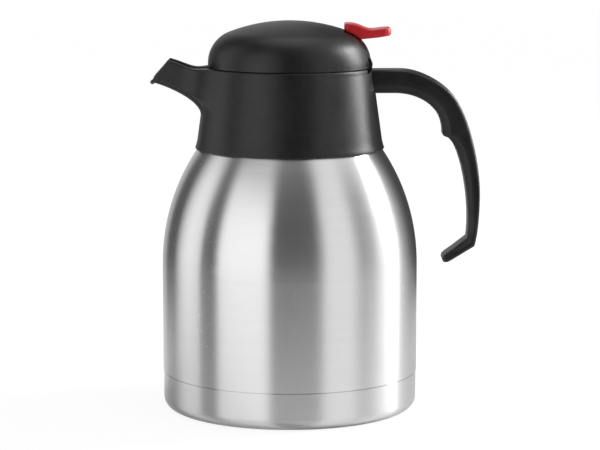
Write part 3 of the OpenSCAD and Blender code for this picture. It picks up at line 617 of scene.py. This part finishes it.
def make_lever():
    """Thumb lever: a pad over the dome, dished at its rear, with the leg, hub and forked arm below it."""
    top, bottom = lever_lines()
    x_low, x_high = lever_pad_x()
    half = LEVER_W / 2
    edge, front_r, rear_r = 1.1, 2.2, 4.2
    rings = []
    starts = [front_r * (1 - math.cos(a)) for a in np.radians(np.arange(8, 91, 13.6))]
    ends = [rear_r * (1 - math.cos(a)) for a in np.radians(np.arange(90, 5, -12))]
    along = np.linspace(x_low + front_r + 0.6, x_high - rear_r - 0.6, 26)
    stations = [x_low + s for s in starts] + list(along) + [x_high - s for s in ends]
    for x in stations:
        w = half
        if x - x_low < front_r:
            w -= front_r - math.sqrt(max(front_r ** 2 - (front_r - (x - x_low)) ** 2, 0))
        if x_high - x < rear_r:
            w -= rear_r - math.sqrt(max(rear_r ** 2 - (rear_r - (x_high - x)) ** 2, 0))
        near = min(x - x_low, x_high - x)
        pull = edge - math.sqrt(max(edge ** 2 - max(edge - near, 0) ** 2, 0))
        high = float(np.interp(x, top[:, 0], top[:, 1])) - pull
        dish = 0.5 * float(np.clip((x - x_low - 8) / 8, 0, 1))
        ring = []
        for y in np.linspace(-(w - edge), w - edge, 13):
            ring.append((x, y, high - dish * (1 - (y / half) ** 2)))
        for a in np.radians(np.arange(75, 0, -15)):
            ring.append((x, w - edge + edge * math.cos(a), high - edge + edge * math.sin(a)))
        low_line = float(np.interp(x, bottom[:, 0], bottom[:, 1])) + 0.6 * pull
        side_low = max(low_line, float(dome_z(math.hypot(x, w))) + 0.4)
        side_low = min(side_low, high - 1.6)
        ring.append((x, w, side_low + 0.7))
        ring.append((x, w - 0.2, side_low + 0.2))
        for y in np.linspace(w - 0.7, -(w - 0.7), 13):
            z = max(low_line, float(dome_z(math.hypot(x, y))) + 0.4)
            ring.append((x, y, min(z, high - 1.2)))
        ring.append((x, -(w - 0.2), side_low + 0.2))
        ring.append((x, -w, side_low + 0.7))
        for a in np.radians(np.arange(15, 76, 15)):
            ring.append((x, -(w - edge) - edge * math.cos(a), high - edge + edge * math.sin(a)))
        rings.append(ring)
    obj = skin("lever_body", rings)
    px, pz = pivot[0], pivot[2]
    leg = plate("leg", [(px - 6.4, pz + 8), (px - 5, pz + 2.6), (px - 1.8, pz - 2.2), (px + 1.5, pz - 1),
                        (px + 2.5, pz + 1.4), (px + 2.5, pz + 5), (px, pz + 8)], 6.6)
    combine(obj, leg, "UNION")
    combine(obj, bar("hub", px, pz, 2.9, 6.6), "UNION")
    nose_z = DOME_Z + 9.8
    arm = plate("arm", [(px, pz + 1.6), (0.9, nose_z + 0.9), (0.0, nose_z + 1.45), (-1.1, nose_z + 1.0),
                        (-1.5, nose_z), (-1.1, nose_z - 1.0), (0, nose_z - 1.5), (px, pz - 2.2)], 4.6)
    combine(obj, arm, "UNION")
    combine(obj, block("fork", (-4, -2.4, nose_z - 4), (5.5, 2.4, nose_z + 4)), "DIFFERENCE")
    combine(obj, bar("bore", px, pz, 1.3, 8), "DIFFERENCE")
    smooth(obj, 34)
    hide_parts("thumb_lever")
    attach(obj, "lever")
    return obj


# ---------- Material tools ----------

class Nodes:
    """Short names for building one material's or the world's nodes."""

    def __init__(self, tree):
        self.tree = tree
        tree.nodes.clear()

    def add(self, kind, **settings):
        node = self.tree.nodes.new("ShaderNode" + kind)
        for key, value in settings.items():
            setattr(node, key, value)
        return node

    def link(self, source, target):
        self.tree.links.new(source, target)

    def put(self, socket, value):
        """Sets a socket to a number or joins it to another socket."""
        if isinstance(value, bpy.types.NodeSocket):
            self.link(value, socket)
        else:
            socket.default_value = value

    def math(self, operation, a, b=0.0):
        """Result of one operation on one or two numbers."""
        node = self.add("Math", operation=operation)
        for socket, value in zip(node.inputs, (a, b)):
            self.put(socket, value)
        return node.outputs[0]

    def mix(self, factor, a, b):
        """Colour between a and b."""
        node = self.add("Mix", data_type="RGBA")
        self.put(node.inputs[0], factor)
        self.put(node.inputs[6], a)
        self.put(node.inputs[7], b)
        return node.outputs[2]

    def blend(self, factor, a, b):
        """Number between a and b."""
        node = self.add("Mix", data_type="FLOAT")
        self.put(node.inputs[0], factor)
        self.put(node.inputs[2], a)
        self.put(node.inputs[3], b)
        return node.outputs[0]

    def step(self, value, low, high):
        """0 below low, 1 above high, with a smooth change between them."""
        node = self.add("MapRange", interpolation_type="SMOOTHSTEP")
        self.put(node.inputs[0], value)
        node.inputs[1].default_value = low
        node.inputs[2].default_value = high
        return node.outputs[0]

    def ramp(self, value, stops):
        """Grey that follows stops of (place, level), with straight lines between them."""
        node = self.add("ValToRGB")
        node.color_ramp.interpolation = "LINEAR"
        elements = node.color_ramp.elements
        while len(elements) < len(stops):
            elements.new(1.0)
        for element, (place, level) in zip(elements, stops):
            element.position = place
            element.color = grey(level)
        self.put(node.inputs[0], value)
        return node.outputs[0]

    def place(self, scale):
        """Object coordinates stretched by scale, per metre."""
        coord = self.add("TexCoord")
        mapping = self.add("Mapping")
        mapping.inputs["Scale"].default_value = scale
        self.link(coord.outputs["Object"], mapping.inputs["Vector"])
        return mapping.outputs[0]

    def noise(self, scale, detail, rough):
        """Noise over the object, its scale given along X, Y and Z per metre."""
        node = self.add("TexNoise", noise_type="FBM")
        self.link(self.place(scale), node.inputs["Vector"])
        node.inputs["Scale"].default_value = 1.0
        node.inputs["Detail"].default_value = detail
        node.inputs["Roughness"].default_value = rough
        return node.outputs["Fac"]

    def bump(self, height, strength, distance):
        """Normal tilted by a height, its distance in metres."""
        node = self.add("Bump")
        node.inputs["Strength"].default_value = strength
        node.inputs["Distance"].default_value = distance
        self.link(height, node.inputs["Height"])
        return node.outputs[0]


def new_material(name):
    """Empty material with a Principled shader joined to its output."""
    material = bpy.data.materials.new(name)
    material.use_nodes = True
    n = Nodes(material.node_tree)
    shader = n.add("BsdfPrincipled")
    output = n.add("OutputMaterial")
    n.link(shader.outputs[0], output.inputs[0])
    return material, n, shader


def grey(level):
    """Opaque grey of the given level."""
    return (level, level, level, 1)


def steel_material():
    """Steel brushed round the body: fine level lines, faint smudges and small scuffs."""
    material, n, s = new_material("brushed_steel")
    fine = n.noise((25, 25, 3600), 3, 0.6)
    broad = n.noise((9, 9, 700), 2, 0.5)
    smudge = n.noise((16, 16, 11), 3, 0.5)
    scuff_field = n.noise((760, 760, 900), 2, 0.55)
    where = n.noise((30, 30, 24), 2, 0.5)
    scuff = n.math("MULTIPLY", n.step(scuff_field, 0.67, 0.74), n.step(where, 0.58, 0.68))
    lines = n.math("ADD", n.math("MULTIPLY", fine, 0.65), n.math("MULTIPLY", broad, 0.35))
    s.inputs["Metallic"].default_value = 1.0
    tone = n.ramp(lines, [(0.25, 0.73), (0.75, 0.78)])
    worn = n.mix(scuff, tone, grey(0.86))
    n.link(worn, s.inputs["Base Color"])
    rough = n.math("ADD", n.blend(lines, 0.22, 0.28),
                   n.math("MULTIPLY", n.math("SUBTRACT", smudge, 0.5), 0.10))
    n.link(n.math("ADD", rough, n.math("MULTIPLY", scuff, 0.10)), s.inputs["Roughness"])
    s.inputs["Anisotropic"].default_value = 0.94
    s.inputs["Anisotropic Rotation"].default_value = 0.25
    tangent = n.add("Tangent", direction_type="RADIAL", axis="Z")
    n.link(tangent.outputs[0], s.inputs["Tangent"])
    height = n.math("ADD", lines, n.math("MULTIPLY", scuff, 0.3))
    n.link(n.bump(height, 0.10, 0.00002), s.inputs["Normal"])
    return material


def inner_steel_material():
    """Drawn sheet inside the body, with faint level lines and dull spots."""
    material, n, s = new_material("inner_steel")
    lines = n.noise((40, 40, 1500), 3, 0.6)
    spots = n.noise((90, 90, 90), 3, 0.6)
    s.inputs["Metallic"].default_value = 1.0
    n.link(n.ramp(spots, [(0.3, 0.56), (0.7, 0.68)]), s.inputs["Base Color"])
    n.link(n.blend(lines, 0.28, 0.42), s.inputs["Roughness"])
    n.link(n.bump(lines, 0.2, 0.00002), s.inputs["Normal"])
    return material


def plain_steel_material():
    """Turned and drawn small steel parts with turning marks."""
    material, n, s = new_material("plain_steel")
    marks = n.noise((900, 900, 2600), 2, 0.5)
    stain = n.noise((260, 260, 260), 2, 0.5)
    s.inputs["Metallic"].default_value = 1.0
    n.link(n.ramp(stain, [(0.3, 0.52), (0.7, 0.66)]), s.inputs["Base Color"])
    n.link(n.blend(marks, 0.2, 0.36), s.inputs["Roughness"])
    n.link(n.bump(marks, 0.2, 0.00002), s.inputs["Normal"])
    return material


def getter_material():
    """Dull grey sealed parts in the vacuum space, with a matt mottled face."""
    material, n, s = new_material("getter_metal")
    mottle = n.noise((420, 420, 420), 3, 0.6)
    s.inputs["Metallic"].default_value = 1.0
    n.link(n.ramp(mottle, [(0.3, 0.34), (0.7, 0.46)]), s.inputs["Base Color"])
    n.link(n.blend(mottle, 0.45, 0.65), s.inputs["Roughness"])
    n.link(n.bump(mottle, 0.3, 0.00004), s.inputs["Normal"])
    return material


def black_plastic_material():
    """Moulded black plastic: fine spark-eroded grain, uneven sheen and faint rubbed marks."""
    material, n, s = new_material("black_plastic")
    grain = n.noise((1500, 1500, 1500), 3, 0.65)
    coarse = n.noise((520, 520, 520), 2, 0.5)
    cloud = n.noise((70, 70, 50), 4, 0.6)
    rub_field = n.noise((90, 90, 260), 3, 0.6)
    rub = n.step(rub_field, 0.62, 0.74)
    dust = n.ramp(cloud, [(0.35, 0.0018), (0.65, 0.0095)])
    n.link(n.mix(n.math("MULTIPLY", rub, 0.5), dust, grey(0.022)), s.inputs["Base Color"])
    rough = n.blend(cloud, 0.36, 0.42)
    rough = n.math("ADD", rough, n.math("MULTIPLY", n.math("SUBTRACT", coarse, 0.5), 0.12))
    n.link(n.math("ADD", rough, n.math("MULTIPLY", rub, 0.05)), s.inputs["Roughness"])
    height = n.math("ADD", n.math("MULTIPLY", grain, 0.6), n.math("MULTIPLY", coarse, 0.4))
    n.link(n.bump(height, 0.8, 0.0001), s.inputs["Normal"])
    return material


def inner_plastic_material():
    """Smooth black plastic inside, with flow marks."""
    material, n, s = new_material("inner_plastic")
    flow = n.noise((60, 60, 200), 3, 0.5)
    fine = n.noise((1400, 1400, 1400), 2, 0.5)
    n.link(n.ramp(flow, [(0.3, 0.012), (0.7, 0.019)]), s.inputs["Base Color"])
    n.link(n.blend(flow, 0.30, 0.42), s.inputs["Roughness"])
    n.link(n.bump(fine, 0.15, 0.00003), s.inputs["Normal"])
    return material


def red_plastic_material():
    """Glossy red plastic: slight flow marks, uneven sheen and orange-peel under a thin coat."""
    material, n, s = new_material("red_plastic")
    flow = n.noise((120, 120, 120), 3, 0.5)
    peel = n.noise((700, 700, 700), 2, 0.5)
    n.link(n.mix(flow, (0.56, 0.011, 0.016, 1), (0.66, 0.018, 0.024, 1)), s.inputs["Base Color"])
    n.link(n.blend(n.noise((260, 260, 260), 3, 0.6), 0.26, 0.38), s.inputs["Roughness"])
    s.inputs["Coat Weight"].default_value = 0.12
    s.inputs["Coat Roughness"].default_value = 0.12
    n.link(n.bump(peel, 0.12, 0.00006), s.inputs["Normal"])
    return material


def silicone_material():
    """Pale silicone that lets a little light in, with a soft bloom."""
    material, n, s = new_material("silicone")
    bloom = n.noise((180, 180, 180), 3, 0.5)
    n.link(n.mix(bloom, (0.70, 0.70, 0.67, 1), (0.80, 0.80, 0.77, 1)), s.inputs["Base Color"])
    n.link(n.blend(bloom, 0.45, 0.6), s.inputs["Roughness"])
    s.inputs["Subsurface Weight"].default_value = 0.15
    s.inputs["Subsurface Radius"].default_value = (0.002, 0.002, 0.0018)
    n.link(n.bump(bloom, 0.15, 0.00005), s.inputs["Normal"])
    return material


def give_material(obj, material):
    """Makes the material the object's only one."""
    obj.data.materials.clear()
    obj.data.materials.append(material)


# ---------- Studio ----------

# Brightness round the carafe, low down and high up, by angle from the camera's side towards the handle
SIDES = [(-180, 0.70), (-152, 0.42), (-144, 0.11), (-127, 0.10), (-121, 0.50), (-113, 0.95),
         (-103, 1.12), (-90, 0.95), (-86, 0.16), (-73, 0.11), (-69, 0.50), (-65, 1.24), (-26, 1.26),
         (-20, 0.95), (-15, 0.15), (-11, 0.09), (23, 0.09), (28, 0.30), (33, 0.82), (38, 0.93), (57, 0.92),
         (64, 0.60), (70, 0.36), (81, 0.46), (91, 0.85), (112, 1.15), (121, 0.62), (130, 0.32), (139, 0.14),
         (150, 0.07), (173, 0.07), (180, 0.70)]
HIGHS = [(-180, 0.30), (-150, 0.13), (-125, 0.13), (-100, 0.16), (-86, 0.14), (-74, 0.28), (-60, 0.42),
         (-30, 0.42), (-18, 0.30), (-8, 0.16), (20, 0.14), (30, 0.30), (40, 0.65), (50, 0.85), (75, 0.90),
         (95, 0.95), (120, 0.85), (150, 0.30), (180, 0.30)]
BRIGHTEST = 1.3
TOP_BOX = 1.4


def seen_directly(n):
    """Light path node, and 1 for what the camera sees itself or through something clear."""
    rays = n.add("LightPath")
    return rays, n.math("MAXIMUM", rays.outputs["Is Camera Ray"], rays.outputs["Is Transmission Ray"])


def make_world():
    """White for the camera. The rest sees a studio of soft boxes with gaps between them."""
    world = bpy.data.worlds.new("studio")
    bpy.context.scene.world = world
    world.use_nodes = True
    n = Nodes(world.node_tree)
    coord = n.add("TexCoord")
    parts = n.add("SeparateXYZ")
    n.link(coord.outputs["Generated"], parts.inputs[0])
    x, y, z = parts.outputs
    turn = n.math("ARCTAN2", x, n.math("MULTIPLY", y, -1.0))
    around = n.math("ADD", n.math("DIVIDE", turn, 2 * math.pi), 0.5)
    sides, highs = [n.ramp(around, [((a + 180) / 360, v / BRIGHTEST) for a, v in table])
                    for table in (SIDES, HIGHS)]
    level = n.math("ARCSINE", z)
    upper = n.blend(n.step(level, math.radians(28), math.radians(52)), sides, highs)
    over = n.math("ADD", n.math("MULTIPLY", y, 0.17), n.math("MULTIPLY", z, 0.985))
    top_box = n.step(over, math.cos(math.radians(27)), math.cos(math.radians(15)))
    lit = n.blend(top_box, upper, TOP_BOX / BRIGHTEST)
    studio = n.add("Background")
    studio.inputs["Color"].default_value = grey(1)
    n.link(n.math("MULTIPLY", lit, BRIGHTEST), studio.inputs["Strength"])
    white = n.add("Background")
    white.inputs["Color"].default_value = grey(1)
    mixer = n.add("MixShader")
    n.link(seen_directly(n)[1], mixer.inputs[0])
    n.link(studio.outputs[0], mixer.inputs[1])
    n.link(white.outputs[0], mixer.inputs[2])
    output = n.add("OutputWorld")
    n.link(mixer.outputs[0], output.inputs[0])


def make_lamp(name, turn, rise, away, size, radiance):
    """Area lamp seen from the carafe at the given angles from the camera's side and above the floor."""
    lamp = bpy.data.lights.new(name, "AREA")
    lamp.shape = "RECTANGLE"
    lamp.size, lamp.size_y = size
    lamp.energy = radiance * math.pi * size[0] * size[1]
    obj = bpy.data.objects.new(name, lamp)
    a, e = math.radians(turn), math.radians(rise)
    direction = Vector((math.sin(a) * math.cos(e), -math.cos(a) * math.cos(e), math.sin(e)))
    target = Vector((0, 0, (RIM_Z + 8) * MM))
    obj.location = target + direction * away
    obj.rotation_euler = (-direction).to_track_quat("-Z", "Y").to_euler()
    obj.visible_camera = False
    bpy.context.scene.collection.objects.link(obj)


def make_floor():
    """White floor that keeps a soft shadow under the carafe, and lets glossy rays through further out."""
    mesh = bpy.data.meshes.new("floor")
    half = 4.0
    corners = [(-half, -half, 0), (half, -half, 0), (half, half, 0), (-half, half, 0)]
    mesh.from_pydata(corners, [], [(0, 1, 2, 3)])
    floor = bpy.data.objects.new("floor", mesh)
    bpy.context.scene.collection.objects.link(floor)
    material = bpy.data.materials.new("floor_white")
    material.use_nodes = True
    n = Nodes(material.node_tree)
    paper = n.add("BsdfDiffuse")
    paper.inputs["Color"].default_value = grey(0.9)
    glow = n.add("Emission")
    glow.inputs["Strength"].default_value = 1.12
    rays, seen = seen_directly(n)
    mixer = n.add("MixShader")
    n.link(n.math("MULTIPLY", seen, 0.78), mixer.inputs[0])
    n.link(paper.outputs[0], mixer.inputs[1])
    n.link(glow.outputs[0], mixer.inputs[2])
    coord = n.add("TexCoord")
    distance = n.add("VectorMath", operation="LENGTH")
    n.link(coord.outputs["Object"], distance.inputs[0])
    sheen = n.blend(n.step(distance.outputs["Value"], 0.30, 0.48), 0.35, 1.0)
    far = n.math("MULTIPLY", sheen, rays.outputs["Is Glossy Ray"])
    clear = n.add("BsdfTransparent")
    table = n.add("MixShader")
    n.link(far, table.inputs[0])
    n.link(mixer.outputs[0], table.inputs[1])
    n.link(clear.outputs[0], table.inputs[2])
    output = n.add("OutputMaterial")
    n.link(table.outputs[0], output.inputs[0])
    mesh.materials.append(material)


def make_camera():
    """Camera fitted to the photo."""
    camera = bpy.data.cameras.new("camera")
    camera.lens = 142.2
    camera.sensor_width = 36.0
    obj = bpy.data.objects.new("camera", camera)
    obj.location = (0.00565, -1.29125, 0.28855)
    obj.rotation_euler = (math.radians(81.71), 0, 0)
    bpy.context.scene.collection.objects.link(obj)
    bpy.context.scene.camera = obj


# ---------- Scene ----------

make_camera()
bpy.context.scene.view_settings.view_transform = "Standard"

materials = {"brushed_steel": steel_material(), "inner_steel": inner_steel_material(),
             "plain_steel": plain_steel_material(), "getter_metal": getter_material(),
             "black_plastic": black_plastic_material(), "inner_plastic": inner_plastic_material(),
             "red_plastic": red_plastic_material(), "silicone": silicone_material()}
for part in frame["record"]["subparts"]:
    give_material(frame["nodes"][part["node"]], materials[part["material_slot"]])

round_edges(frame["nodes"]["lid_dome"], 0.6)
give_material(make_collar(), materials["black_plastic"])
give_material(make_handle(), materials["black_plastic"])
give_material(make_lever(), materials["red_plastic"])

make_world()
make_floor()
make_lamp("side_light", 105.8, 16, 1.0, (0.095, 0.66), 36.0)
make_lamp("high_light", 112, 29, 1.0, (0.20, 0.20), 20.0)
